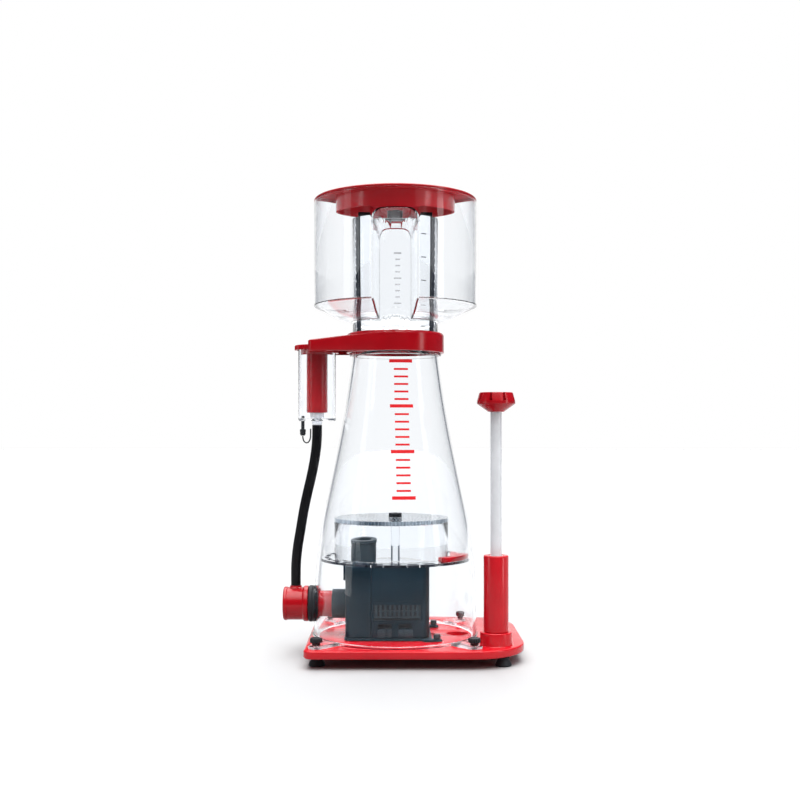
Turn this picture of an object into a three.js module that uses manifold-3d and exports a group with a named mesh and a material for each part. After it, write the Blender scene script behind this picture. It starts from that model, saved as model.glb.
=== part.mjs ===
// Protein skimmer for a marine aquarium, with its pump inside the reaction body.
// Millimetres, +Z up, front towards -Y, water outlet on the +X side.
// Everything is drawn round the vertical axis of the reaction body with the feet on z = 0.
// The finished group is shifted so that its origin is the middle of the footprint.

import * as THREE from 'three';
import { mergeVertices } from 'three/addons/utils/BufferGeometryUtils.js';
import Module from 'manifold-3d';

const wasm = await Module();
wasm.setup();

// ---------------------------------------------------------------- driving dimensions

const GAP = 0.3;
const FINE = 24;
const MEDIUM = 16;
const SMALL = 12;
const TINY = 8;

const PLATE = { left: -106, right: 154.5, front: -109, back: 124, bottom: 12.5, top: 22 };
const PLATE_CORNER = { left: 12, frontRight: 66, backRight: 60 };
const SCREW = { x: 91.7, y: 92, knobRadius: 7.25, shankRadius: 2.6, top: 34.6 };
const DRAIN_HOLE = { x: 78, y: 5, radius: 13.9 };
const CHANNEL = { halfWidth: 14, ledge: 2.5, depth: 5, cover: 1.5 };
const FEET = [[-91.6, -81.2], [126.3, -81.2], [-91.6, 98], [108, 98]];

const POST = { x: 118.7, y: -71, radius: 14.7, bore: 12, top: 128, shoulder: 38.5 };
const BOSS = { radius: 18.9, top: 38.2, bore: 12.6 };
const POST_WINDOW = { halfWidth: 7, bottom: 48, top: 80 };
const ROD = { radius: 6.57, bottom: 84, top: 307.5 };
const KNOB = { bottom: 296.8, middle: 306.8, top: 319.6, notches: 8 };

const BODY = { wall: 3.4, flangeRadius: 102.6, bottom: 22.4, flangeTop: 25.6 };
const BODY_OUTLINE = [
  [100.8, 30], [100, 75], [97.6, 115], [92.4, 153], [82.2, 203],
  [69.9, 262], [61, 311], [55, 352], [53.3, 366.8],
];
const NECK_FLANGE = { radius: 57, bottom: 366.8, top: 375.8 };

const LOWER_DISC = { radius: 92.2, bottom: 115.5, top: 118.5, slots: 26 };
const DRUM = { x: -5, radius: 70.6, wall: 2.4, top: 162 };
const DIFFUSER = { top: 167, holeRings: [20, 40, 60] };

const PUMP = { axis: 60, bottom: 25.2, top: 111.5, depth: 46, left: -60, split: -28.6, right: 41 };
const PUMP_FOOT_TOP = 24.9;
const RISER = { x: -39.2, radius: 16.2, bore: 9.7, top: 138 };
const INLET = { radius: 17.9, end: -78, bore: 14.5 };
const IMPELLER = { radius: 20, pins: [[15, 9]], pinLength: 10 };

const PIPE = { radius: 16, bore: 11.5, left: -107.5 };
const GASKET = { radius: 22.4, left: -107.2, sleeve: 18.8, bore: 16.4 };
const VENTURI = { left: -138.3, right: -107.8, radius: 20.8 };
const HOSE = { radius: 6.1, sides: 10 };
const HOSE_ROUTE = [
  [-97.2, 281.6], [-97.2, 270], [-97.9, 257], [-99.6, 243], [-102.2, 228], [-105.4, 213],
  [-108.5, 200], [-111.4, 187], [-114, 174], [-116.2, 161], [-118.3, 148], [-120.4, 136],
  [-122, 124], [-123.1, 112], [-123.5, 100], [-123.5, 82.8],
];

const COLLAR = { radius: 60.4, bottom: 370.5, top: 395.2, bore: 54.2, seat: 376.2, skirt: 57.4 };
const ARM = { end: -105.5, endTop: 384.2, front: -44.5, back: 32, skin: 3, corner: 7 };

const SILENCER = { x: -97.2, radius: 23.3, wall: 2.5, bottom: 286.6, top: 377.1 };
const DIAL = { radius: 27.8, bottom: 374.2, top: 380.2 };
const SILENCER_PLUG = { x: -114.9, stem: 2.1, grip: 3.7 };

const CUP = { radius: 100.7, wall: 2.5, top: 557, wallBottom: 428.3, floor: 408.8, floorThickness: 2.7 };
const CUP_FLOOR = [[68, 412.4], [79, 417.4], [90, 423.4]];
const NECK = { outer: 52.8, inner: 49.8, bottom: 380.2, top: 530 };
const RECESS = { halfWidth: 26.7, neckHalfWidth: 19, top: 533, drop: 17.5, corner: 14, wall: 2.4 };
const LID = { top: 560, plate: 557.3, plugBottom: 554.5, skirtRadius: 72.5, skirtBottom: 538.2 };
const WIPER = { inner: 42.8, joint: 45.3, tip: 49.3, bottom: 386, bar: 532.5, barTop: 538 };

// ---------------------------------------------------------------- materials

const plastic = (color, roughness) => new THREE.MeshStandardMaterial({ color, roughness, metalness: 0 });
const RED = plastic(0xd3101a, 0.25);
const CLEAR = plastic(0xdfe9f1, 0.08);
const BLACK = plastic(0x15181b, 0.45);
const RUBBER = plastic(0x1b1e21, 0.75);
const PUMP_GREY = plastic(0x22303a, 0.4);
const RISER_GREY = plastic(0x77808a, 0.4);
const WHITE = plastic(0xf2f3f2, 0.35);
const SILICONE = plastic(0xe9e6e2, 0.5);
const CERAMIC = plastic(0xe4e0d6, 0.3);
const MAGNET = plastic(0x33363a, 0.5);

// ---------------------------------------------------------------- shape helpers

const skimmer = new THREE.Group();

function add(name, geometry, material) {
  const mesh = new THREE.Mesh(geometry, material);
  mesh.name = name;
  skimmer.add(mesh);
}

function toSolid(geometry) {
  const bare = geometry.clone();
  bare.deleteAttribute('normal');
  bare.deleteAttribute('uv');
  const merged = mergeVertices(bare, 1e-4);
  const corners = merged.index.array;
  const triVerts = [];
  for (let i = 0; i < corners.length; i += 3) {
    const [a, b, c] = [corners[i], corners[i + 1], corners[i + 2]];
    if (a !== b && b !== c && c !== a) triVerts.push(a, b, c);
  }
  return new wasm.Manifold(new wasm.Mesh({
    numProp: 3,
    vertProperties: Float32Array.from(merged.attributes.position.array),
    triVerts: Uint32Array.from(triVerts),
  }));
}

function toGeometry(solid) {
  const mesh = solid.getMesh();
  const geometry = new THREE.BufferGeometry();
  geometry.setAttribute('position', new THREE.BufferAttribute(mesh.vertProperties, 3));
  geometry.setIndex(new THREE.BufferAttribute(mesh.triVerts, 1));
  geometry.computeVertexNormals();
  return geometry;
}

const join = (first, ...others) => toGeometry(
  others.reduce((sum, g) => sum.add(toSolid(g)), toSolid(first)));

const cut = (first, ...tools) => toGeometry(
  tools.reduce((sum, g) => sum.subtract(toSolid(g)), toSolid(first)));

const common = (first, second) => toGeometry(toSolid(first).intersect(toSolid(second)));

// A body of revolution round Z from [radius, height] points, up the outside and down the inside.
function turned(profile, sides) {
  const points = profile.map(([radius, height]) => new THREE.Vector2(radius, height));
  return new THREE.LatheGeometry(points, sides).rotateX(Math.PI / 2);
}

const ring = (outer, inner, bottom, top, sides) => turned(
  [[inner, bottom], [outer, bottom], [outer, top], [inner, top], [inner, bottom]], sides);

const rod = (radius, bottom, top, sides) => turned(
  [[0, bottom], [radius, bottom], [radius, top], [0, top]], sides);

// Turns a body of revolution so that its heights run along +X, or along +Y, at the height z.
const alongX = (geometry, z) => geometry.rotateY(Math.PI / 2).translate(0, 0, z);
const alongY = (geometry, x, z) => geometry.rotateX(-Math.PI / 2).translate(x, 0, z);

function block([x0, x1], [y0, y1], [z0, z1]) {
  const box = new THREE.BoxGeometry(x1 - x0, y1 - y0, z1 - z0);
  return box.translate((x0 + x1) / 2, (y0 + y1) / 2, (z0 + z1) / 2);
}

function prism(shape, bottom, top, curveSegments = 6) {
  const options = { depth: top - bottom, bevelEnabled: false, curveSegments };
  return new THREE.ExtrudeGeometry(shape, options).translate(0, 0, bottom);
}

// Anticlockwise rectangle with corner radii as [front left, front right, back right, back left].
function roundedRectangle([x0, x1], [y0, y1], [frontLeft, frontRight, backRight, backLeft]) {
  const shape = new THREE.Shape();
  shape.moveTo(x0 + frontLeft, y0);
  shape.lineTo(x1 - frontRight, y0);
  if (frontRight) shape.absarc(x1 - frontRight, y0 + frontRight, frontRight, -Math.PI / 2, 0);
  shape.lineTo(x1, y1 - backRight);
  if (backRight) shape.absarc(x1 - backRight, y1 - backRight, backRight, 0, Math.PI / 2);
  shape.lineTo(x0 + backLeft, y1);
  if (backLeft) shape.absarc(x0 + backLeft, y1 - backLeft, backLeft, Math.PI / 2, Math.PI);
  shape.lineTo(x0, y0 + frontLeft);
  if (frontLeft) shape.absarc(x0 + frontLeft, y0 + frontLeft, frontLeft, Math.PI, Math.PI * 1.5);
  return shape;
}

// A straight slot with round ends, from one centre to the other.
function capsule([ax, ay], [bx, by], radius) {
  const heading = Math.atan2(by - ay, bx - ax);
  const shape = new THREE.Shape();
  shape.absarc(ax, ay, radius, heading + Math.PI / 2, heading + Math.PI * 1.5);
  shape.absarc(bx, by, radius, heading - Math.PI / 2, heading + Math.PI / 2);
  return shape;
}

const polar = (radius, angle) => [radius * Math.cos(angle), radius * Math.sin(angle)];

// ---------------------------------------------------------------- base and feet

const cornerScrews = [[-1, -1], [1, -1], [1, 1], [-1, 1]].map(([sx, sy]) => [sx * SCREW.x, sy * SCREW.y]);

function buildBase() {
  const { left, right, front, back, bottom, top } = PLATE;
  const corners = [PLATE_CORNER.left, PLATE_CORNER.frontRight, PLATE_CORNER.backRight, PLATE_CORNER.left];
  const plate = prism(roundedRectangle([left, right], [front, back], corners), bottom, top, 10);
  const boss = rod(BOSS.radius, bottom + 4, BOSS.top, MEDIUM).translate(POST.x, POST.y, 0);
  const bore = rod(BOSS.bore, 0, 60, MEDIUM).translate(POST.x, POST.y, 0);
  const drain = rod(DRAIN_HOLE.radius, 0, 60, MEDIUM).translate(DRAIN_HOLE.x, DRAIN_HOLE.y, 0);
  const ends = [[DRAIN_HOLE.x, DRAIN_HOLE.y], [POST.x, POST.y]];
  const channel = prism(capsule(...ends, CHANNEL.halfWidth), bottom - 1, bottom + CHANNEL.depth);
  const seatTop = bottom + CHANNEL.cover + GAP;
  const seat = prism(capsule(...ends, CHANNEL.halfWidth + CHANNEL.ledge), bottom - 1, seatTop);
  const groove = ring(99.2, 94.8, top - 2.2, top + 1, FINE);
  const socket = rod(SCREW.shankRadius + 0.4, 14.5, 30, TINY);
  const sockets = cornerScrews.map(([x, y]) => socket.clone().translate(x, y, 0));
  add('base_plate', cut(join(plate, boss), bore, drain, channel, seat, groove, ...sockets), RED);

  const coverHalf = CHANNEL.halfWidth + CHANNEL.ledge - GAP;
  add('channel_cover', prism(capsule(...ends, coverHalf), bottom, bottom + CHANNEL.cover), RED);
  add('base_seal', ring(98.8, 95.2, top - 1.9, top, FINE), SILICONE);

  const footProfile = [[0, 0], [8.6, 0], [9.8, 1.4], [9.2, 4], [6.6, 8.4], [5.6, 12.2], [0, 12.2]];
  FEET.forEach(([x, y], i) => add(`foot_${i + 1}`, turned(footProfile, SMALL).translate(x, y, 0), RUBBER));
}

function buildThumbScrews() {
  const profile = [
    [0, 14.8], [SCREW.shankRadius, 14.8], [SCREW.shankRadius, 25.9], [4.6, 25.9], [4.9, 28.4],
    [SCREW.knobRadius, 29.8], [SCREW.knobRadius, 33.8], [6.4, SCREW.top], [0, SCREW.top],
  ];
  cornerScrews.forEach(([x, y], i) => {
    add(`thumb_screw_${i + 1}`, turned(profile, SMALL).translate(x, y, 0), BLACK);
  });
}

// ---------------------------------------------------------------- reaction body

function buildBody() {
  const outline = new THREE.SplineCurve(BODY_OUTLINE.map(([r, z]) => new THREE.Vector2(r, z)));
  const outside = outline.getPoints(6).map((p) => [p.x, p.y]);
  const inside = outside.map(([r, z]) => [r - BODY.wall, z]).reverse();
  const innerBottom = BODY_OUTLINE[0][0] - BODY.wall;
  const shell = turned([
    [innerBottom, BODY.bottom], [BODY.flangeRadius, BODY.bottom], [BODY.flangeRadius, BODY.flangeTop],
    [101, BODY.flangeTop], ...outside,
    [NECK_FLANGE.radius, NECK_FLANGE.bottom], [NECK_FLANGE.radius, NECK_FLANGE.top],
    [BODY_OUTLINE.at(-1)[0] - BODY.wall, NECK_FLANGE.top], ...inside, [innerBottom, BODY.bottom],
  ], FINE);
  const ears = cornerScrews.map(([x, y]) => {
    const ear = capsule([x * 0.76, y * 0.76], [x, y], 9.5);
    return prism(ear, BODY.bottom, BODY.flangeTop);
  });
  const holes = cornerScrews.map(([x, y]) => rod(3.2, 10, 40, TINY).translate(x, y, 0));
  const inletHole = alongX(rod(GASKET.sleeve + 0.4, -115, -85, MEDIUM), PUMP.axis);
  const cableHole = alongY(rod(5.2, 88, 112, SMALL), 30, 46);
  add('reaction_body', cut(join(shell, ...ears), ...holes, inletHole, cableHole), CLEAR);

  const grommet = turned([
    [0, 91.4], [4.8, 91.4], [4.8, 99.8], [8, 99.8], [8, 102.4], [4.2, 104.6], [0, 104.6],
  ], SMALL);
  add('cable_grommet', alongY(grommet, 30, 46), RUBBER);
}

// ---------------------------------------------------------------- bubble plates

function buildBubblePlates() {
  const disc = new THREE.Shape();
  disc.absarc(0, 0, LOWER_DISC.radius, 0, Math.PI * 2);
  const riserHole = new THREE.Path();
  riserHole.absarc(RISER.x, 0, RISER.radius + 0.4, 0, Math.PI * 2, true);
  disc.holes.push(riserHole);
  for (let i = 0; i < LOWER_DISC.slots; i += 1) {
    const middle = ((i + 0.5) / LOWER_DISC.slots) * Math.PI * 2;
    const half = Math.PI / LOWER_DISC.slots * 0.62;
    const slot = new THREE.Path();
    slot.moveTo(...polar(82, middle - half));
    slot.lineTo(...polar(82, middle + half));
    slot.lineTo(...polar(87.5, middle + half));
    slot.lineTo(...polar(87.5, middle - half));
    slot.closePath();
    disc.holes.push(slot);
  }
  add('lower_bubble_plate', prism(disc, LOWER_DISC.bottom, LOWER_DISC.top, 24), CLEAR);

  const drumBottom = LOWER_DISC.top + GAP;
  const drum = ring(DRUM.radius, DRUM.radius - DRUM.wall, drumBottom, DRUM.top, FINE);
  add('diffuser_drum', drum.translate(DRUM.x, 0, 0), CLEAR);

  const plate = new THREE.Shape();
  plate.absarc(DRUM.x, 0, DRUM.radius, 0, Math.PI * 2);
  const studHole = new THREE.Path();
  studHole.absarc(0, 0, 3, 0, Math.PI * 2, true);
  plate.holes.push(studHole);
  DIFFUSER.holeRings.forEach((radius, row) => {
    const count = 6 + row * 6;
    for (let i = 0; i < count; i += 1) {
      const [x, y] = polar(radius, (i / count) * Math.PI * 2);
      const hole = new THREE.Path();
      hole.moveTo(DRUM.x + x - 1.6, y);
      hole.lineTo(DRUM.x + x, y + 1.6);
      hole.lineTo(DRUM.x + x + 1.6, y);
      hole.lineTo(DRUM.x + x, y - 1.6);
      hole.closePath();
      plate.holes.push(hole);
    }
  });
  add('diffuser_plate', prism(plate, DRUM.top + GAP, DIFFUSER.top, 12), CLEAR);

  add('centre_post', rod(5.4, drumBottom, 154.7, SMALL), CLEAR);
  const screw = [[0, 155], [3.9, 155], [3.9, 161.8], [2.4, 161.8], [2.4, 171], [0, 171]];
  add('post_screw', turned(screw, TINY), BLACK);
  add('diffuser_nut', ring(8.4, 2.8, DIFFUSER.top + GAP, 172.4, SMALL), BLACK);

  const tab = new THREE.Shape();
  tab.absarc(0, 0, 91, -0.9, -0.24, false);
  tab.lineTo(...polar(80, -0.24));
  tab.lineTo(70.5, 2);
  tab.lineTo(67.5, -8);
  tab.lineTo(...polar(80, -0.62));
  tab.lineTo(...polar(80, -0.9));
  add('plate_lock_tab', prism(tab, drumBottom, 124.5), RED);
}

// ---------------------------------------------------------------- pump

function buildPump() {
  const { axis, bottom, top, depth, left, split, right } = PUMP;
  const deep = [-depth, depth];
  const motorBlock = prism(roundedRectangle([split, right], deep, [0, 9, 9, 0]), bottom, top, 4);
  const well = alongX(rod(13, split - 5, 27, MEDIUM), axis);
  const bearingSeat = alongX(rod(6.4, 20, 34, SMALL), axis);
  const grille = block([-24.5, 28.6], [-60, 2.5 - depth], [47, 65.5]);
  const ducts = [[-20.8, -4.3], [3.8, 19.3]].map((span) => block(span, [-60, 6 - depth], [37, 42.7]));
  add('motor_housing', cut(motorBlock, well, bearingSeat, grille, ...ducts), PUMP_GREY);

  const voluteRight = split - GAP;
  const volute = prism(roundedRectangle([left, voluteRight], deep, [8, 0, 0, 8]), bottom, top, 4);
  const socket = alongX(rod(INLET.radius, INLET.end, left + 6, MEDIUM), axis);
  const chamber = alongX(rod(24, -54, voluteRight + 5, MEDIUM), axis);
  const socketBore = alongX(rod(INLET.bore, INLET.end - 5, -63, MEDIUM), axis);
  const throat = alongX(rod(11, -70, -50, MEDIUM), axis);
  const outlet = rod(RISER.bore, axis, top + 5, SMALL).translate(RISER.x, 0, 0);
  add('volute_housing', cut(join(volute, socket), chamber, socketBore, throat, outlet), PUMP_GREY);

  const riser = ring(RISER.radius, RISER.bore, top + GAP, RISER.top, MEDIUM);
  add('outlet_riser', riser.translate(RISER.x, 0, 0), RISER_GREY);

  const footOutline = roundedRectangle([-61, 44], [-50, 50], [6, 6, 6, 6]);
  const footPlate = prism(footOutline, BODY.bottom, PUMP_FOOT_TOP, 3);
  const lugs = [-50, 47].map((y) => prism(capsule([38, y], [49.5, y], 6.5), BODY.bottom, PUMP_FOOT_TOP, 4));
  add('pump_foot_plate', join(footPlate, ...lugs), PUMP_GREY);
  const screwHead = [[0, bottom], [4, bottom], [4.4, 28.6], [3.4, 31], [0, 31]];
  [-50, 47].forEach((y, i) => {
    add(`pump_screw_${i + 1}`, turned(screwHead, TINY).translate(49.5, y, 0), BLACK);
  });

  const clip = new THREE.Shape();
  clip.moveTo(-64, 90);
  clip.lineTo(left - GAP, 90);
  clip.lineTo(left - GAP, top + GAP);
  clip.lineTo(-57.5, top + GAP);
  clip.lineTo(-57.5, 114.6);
  clip.lineTo(-64, 114.6);
  clip.closePath();
  add('pump_clip', prism(clip, -11, 11).rotateX(Math.PI / 2), PUMP_GREY);

  const gland = turned([[0, 46.3], [6, 46.3], [6, 50], [4, 56], [4, 60], [0, 60]], SMALL);
  add('motor_cable_gland', alongY(gland, 20, 46), RUBBER);
}

function buildRotor() {
  const { axis } = PUMP;
  add('impeller_shaft', alongX(rod(2.1, -58.5, 32.5, TINY), axis), CERAMIC);
  add('rotor_magnet', alongX(ring(11.8, 2.5, -26, 22, MEDIUM), axis), MAGNET);
  const pins = IMPELLER.pins.flatMap(([radius, count]) => Array.from({ length: count }, (_, i) => {
    const [y, z] = polar(radius, (i / count) * Math.PI * 2);
    return alongX(rod(1.2, -34.8 - IMPELLER.pinLength, -34, 4), axis).translate(0, y, z);
  }));
  const wheel = alongX(ring(IMPELLER.radius, 2.5, -34.8, -32, MEDIUM), axis);
  const hub = alongX(ring(4.2, 2.5, -45, -26.4, SMALL), axis);
  add('needle_impeller', join(wheel, hub, ...pins), WHITE);
  add('rear_bearing', alongX(ring(6, 2.5, 27.4, 33.4, SMALL), axis), CERAMIC);
  const spokes = [0, 1, 2].map((i) => {
    const spoke = block([-59.6, -56], [-1, 1], [3.4, 10.6]);
    return spoke.rotateX((i * Math.PI * 2) / 3).translate(0, 0, axis);
  });
  add('front_bearing', join(alongX(ring(4.4, 2.5, -60, -55, SMALL), axis), ...spokes), CERAMIC);
}

// ---------------------------------------------------------------- intake and air line

function buildIntake() {
  const { axis } = PUMP;
  const pipe = turned([
    [PIPE.bore, PIPE.left], [PIPE.radius, PIPE.left], [PIPE.radius, INLET.end - GAP],
    [14.1, INLET.end - GAP], [14.1, -63.4], [PIPE.bore, -63.4], [PIPE.bore, PIPE.left],
  ], MEDIUM);
  add('intake_pipe', alongX(pipe, axis), RED);

  const washer = alongX(ring(GASKET.radius, GASKET.bore, GASKET.left, -94, MEDIUM), axis);
  const bodyRound = rod(BODY_OUTLINE[0][0] + 0.5, 0, 120, FINE);
  const sleeve = alongX(ring(GASKET.sleeve, GASKET.bore, -104, -94.6, MEDIUM), axis);
  add('intake_gasket', join(cut(washer, bodyRound), sleeve), RUBBER);

  const nozzle = turned([
    [PIPE.bore, VENTURI.right], [9, -118], [9, -126], [17.6, VENTURI.left], [19.6, VENTURI.left],
    [VENTURI.radius, -137], [VENTURI.radius, VENTURI.right], [PIPE.bore, VENTURI.right],
  ], MEDIUM);
  const airBoss = rod(7.2, axis + 16, 82.5, SMALL).translate(-123.5, 0, 0);
  const airHole = rod(2.2, axis + 2, 90, TINY).translate(-123.5, 0, 0);
  const collarX = ring(22, 15, VENTURI.right - 5, VENTURI.right, MEDIUM);
  add('venturi_inlet', cut(join(alongX(nozzle, axis), alongX(collarX, axis), airBoss), airHole), RED);

  const route = new THREE.CatmullRomCurve3(HOSE_ROUTE.map(([x, z]) => new THREE.Vector3(x, 0, z)));
  const section = new THREE.Shape();
  section.absarc(0, 0, HOSE.radius, 0, Math.PI * 2);
  const options = { steps: 16, extrudePath: route, curveSegments: HOSE.sides / 2 };
  add('air_hose', new THREE.ExtrudeGeometry(section, options), BLACK);
}

// ---------------------------------------------------------------- neck collar with silencer arm

function buildCollar() {
  const { radius, bottom, top, bore, seat, skirt } = COLLAR;
  const { end, endTop, front, back, skin, corner } = ARM;
  const wing = (inset) => {
    const shape = new THREE.Shape();
    const x = end + inset;
    shape.moveTo(x, back - inset - corner);
    shape.lineTo(x, front + inset + corner);
    shape.quadraticCurveTo(x, front + inset, x + corner, front + inset - 1);
    shape.lineTo(0, inset - radius);
    shape.lineTo(0, back - inset);
    shape.lineTo(x + corner, back - inset);
    shape.quadraticCurveTo(x, back - inset, x, back - inset - corner);
    return shape;
  };
  const slope = (drop) => {
    const side = new THREE.Shape();
    side.moveTo(end - 5, bottom - 10);
    side.lineTo(5, bottom - 10);
    side.lineTo(5, top - drop);
    side.lineTo(0, top - drop);
    side.lineTo(end, endTop - drop);
    side.lineTo(end - 5, endTop - drop);
    side.closePath();
    return prism(side, -100, 100).rotateX(Math.PI / 2);
  };
  const solidWing = common(prism(wing(0), bottom, top), slope(0));
  const hollow = common(prism(wing(skin), bottom - 5, top), slope(skin));
  const dialWay = block([end - 5, end + 8], [-29.4, 29.4], [bottom - 5, 381.4]);
  const hoop = rod(radius, bottom, top, FINE);
  const wingShell = cut(solidWing, hollow, dialWay);

  const clip = ring(26.9, SILENCER.radius + 0.4, bottom, 373.8, MEDIUM).translate(SILENCER.x, 0, 0);
  const keep = block([end + 0.5, -60], [-60, 60], [bottom - 5, top]);
  const ribs = [[front - 0.5, -25.6], [25.6, back - 1]].map(
    (span) => block([-99, -95.4], span, [bottom, 373.8]));
  const mouth = turned([
    [0, bottom - 5], [skirt, bottom - 5], [skirt, seat], [bore, seat], [bore, top + 5], [0, top + 5],
  ], FINE);
  add('neck_collar', cut(join(wingShell, hoop, common(clip, keep), ...ribs), mouth), RED);
}

// ---------------------------------------------------------------- air silencer

function buildSilencer() {
  const { x, radius, wall, bottom, top } = SILENCER;
  const inner = radius - wall;
  const cup = turned([
    [4.3, bottom], [radius - 1, bottom], [radius, bottom + 1], [radius, top],
    [inner, top], [inner, bottom + 3], [4.3, bottom + 3], [4.3, bottom],
  ], MEDIUM);
  const plugHole = rod(SILENCER_PLUG.stem + 0.4, bottom - 5, bottom + 8, TINY);
  const drained = cut(cup, plugHole.translate(SILENCER_PLUG.x - x, 0, 0));
  add('silencer_cup', drained.translate(x, 0, 0), CLEAR);

  const muffler = turned([
    [2, 296.4], [13.1, 296.4], [13.1, 369.8], [10.8, 369.8], [10.8, 299], [2, 299], [2, 296.4],
  ], MEDIUM);
  add('silencer_tube', muffler.translate(x, 0, 0), RED);

  const nipple = turned([
    [1.8, 281.9], [6.1, 281.9], [6.1, 286.3], [3.9, 286.3], [3.9, 289.9], [8.4, 289.9],
    [8.4, 296.1], [1.8, 296.1], [1.8, 281.9],
  ], SMALL);
  add('hose_nipple', nipple.translate(x, 0, 0), WHITE);

  const cap = turned([
    [0, 377.5], [18.4, 377.5], [18.4, 368], [20.4, 368], [20.4, 377.5], [24.8, 377.5],
    [24.8, DIAL.bottom], [DIAL.radius, DIAL.bottom], [DIAL.radius, DIAL.top], [0, DIAL.top],
  ], FINE);
  const airHoles = [0, 1, 2].map((i) => {
    const [hx, hy] = polar(13, i * 0.6 + 2.5);
    return rod(2.2, 370, 385, TINY).translate(hx, hy, 0);
  });
  add('silencer_dial', cut(cap, ...airHoles).translate(x, 0, 0), RED);

  const { stem, grip } = SILENCER_PLUG;
  const plug = turned([
    [0, 268.4], [2.4, 268.4], [grip, 271.2], [grip, 276], [stem, 276.6], [stem, 291.5], [0, 292.6],
  ], TINY);
  add('silencer_plug', plug.translate(SILENCER_PLUG.x, 0, 0), RUBBER);

  const loop = new THREE.CatmullRomCurve3([
    [-115, 268], [-114.4, 263.2], [-111.6, 259.6], [-108.2, 260],
    [-105.8, 264.4], [-105.3, 271.4], [-105.3, 277],
  ].map(([px, pz]) => new THREE.Vector3(px, 0, pz)));
  const strand = new THREE.Shape();
  strand.absarc(0, 0, 0.9, 0, Math.PI * 2);
  const tether = new THREE.ExtrudeGeometry(strand, { steps: 12, extrudePath: loop, curveSegments: 3 });
  add('plug_tether', tether, RUBBER);
}

// ---------------------------------------------------------------- collection cup

// Prism with an arched top that runs from the neck out through the cup wall.
// It narrows and drops towards the neck, and grows outwards by the given margin.
function recessPrism(margin) {
  const half = RECESS.halfWidth + margin;
  const top = RECESS.top + margin;
  const bottom = CUP.floor - 30;
  const arch = new THREE.Shape();
  arch.moveTo(-half, bottom);
  arch.lineTo(half, bottom);
  arch.lineTo(half, top - RECESS.corner);
  arch.quadraticCurveTo(half, top, half - RECESS.corner, top);
  arch.lineTo(RECESS.corner - half, top);
  arch.quadraticCurveTo(-half, top, -half, top - RECESS.corner);
  arch.closePath();
  const reach = CUP.radius + 4;
  const geometry = prism(arch, 0, reach, 5).rotateX(Math.PI / 2);
  const places = geometry.attributes.position;
  const atNeck = (RECESS.neckHalfWidth + margin) / half;
  for (let i = 0; i < places.count; i += 1) {
    const inward = (reach + places.getY(i)) / (reach - NECK.outer);
    places.setX(i, places.getX(i) * (1 + (atNeck - 1) * inward));
    places.setZ(i, places.getZ(i) - RECESS.drop * inward);
  }
  return geometry;
}

function buildCup() {
  const { radius, wall, top, wallBottom, floor, floorThickness } = CUP;
  const inner = radius - wall;
  const collar = NECK.outer + GAP;
  const rim = wallBottom + 1.6;
  const underside = [
    [collar, floor], ...CUP_FLOOR, [radius - 1, wallBottom - 1], [radius, wallBottom],
  ];
  const dish = turned([
    ...underside, [radius, rim], [inner, rim],
    ...CUP_FLOOR.map(([r, z]) => [r, z + floorThickness]).reverse(),
    [collar, floor + floorThickness], [collar, floor],
  ], FINE);
  const filled = turned([[0, floor], ...underside, [radius, top], [0, top]], FINE);
  const neckWay = rod(collar, 300, 600, FINE);
  const wallWay = recessPrism(RECESS.wall + GAP);
  add('collection_cup', cut(ring(radius, inner, rim + GAP, top, FINE), wallWay), CLEAR);
  add('cup_floor', cut(dish, wallWay), CLEAR);
  const niche = common(recessPrism(RECESS.wall), filled);
  add('cup_recess', cut(niche, recessPrism(0), neckWay), CLEAR);
  const halfRound = alongY(rod(13.5, -NECK.outer - 3, 0, SMALL), 0, floor);
  const aboveFloor = block([-20, 20], [-60, 0], [floor, floor + 20]);
  const boss = common(halfRound, aboveFloor);
  const neckTube = ring(NECK.outer, NECK.inner, NECK.bottom, NECK.top, FINE);
  const neckBore = rod(NECK.inner, 300, 600, FINE);
  add('cup_neck', cut(join(neckTube, boss), neckBore), CLEAR);

  const seal = new THREE.TorusGeometry(51.9, 1.6, 5, FINE);
  add('neck_o_ring', seal.translate(0, 0, (NECK_FLANGE.top + NECK.bottom) / 2), RUBBER);
}

function buildLid() {
  const { top, plate, plugBottom, skirtRadius, skirtBottom } = LID;
  const plug = CUP.radius - CUP.wall - 0.8;
  add('cup_lid', turned([
    [0, plate], [10.3, plate], [10.3, 548], [13, 548], [13, plate], [skirtRadius - 2.5, plate],
    [skirtRadius - 2.5, skirtBottom], [skirtRadius, skirtBottom], [skirtRadius, plate],
    [plug - 2.6, plate], [plug - 2.6, plugBottom], [plug, plugBottom], [plug, plate],
    [CUP.radius, plate], [CUP.radius, top], [0, top],
  ], FINE), RED);
}

function buildNeckCleaner() {
  const { inner, joint, tip, bottom, bar, barTop } = WIPER;
  const bridge = block([-joint, joint], [-4, 4], [bar, barTop]);
  const hub = rod(9.9, bar, 556.6, SMALL);
  const arms = [[-joint, -inner], [inner, joint]].map((span) => block(span, [-1.6, 1.6], [bottom, bar + 2]));
  add('wiper_frame', join(bridge, hub, ...arms), BLACK);
  const edge = joint + GAP;
  add('wiper_blade_left', block([-tip, -edge], [-1.4, 1.4], [bottom, NECK.top - 1]), RUBBER);
  add('wiper_blade_right', block([edge, tip], [-1.4, 1.4], [bottom, NECK.top - 1]), RUBBER);
}

// ---------------------------------------------------------------- outlet post and level control

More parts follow.
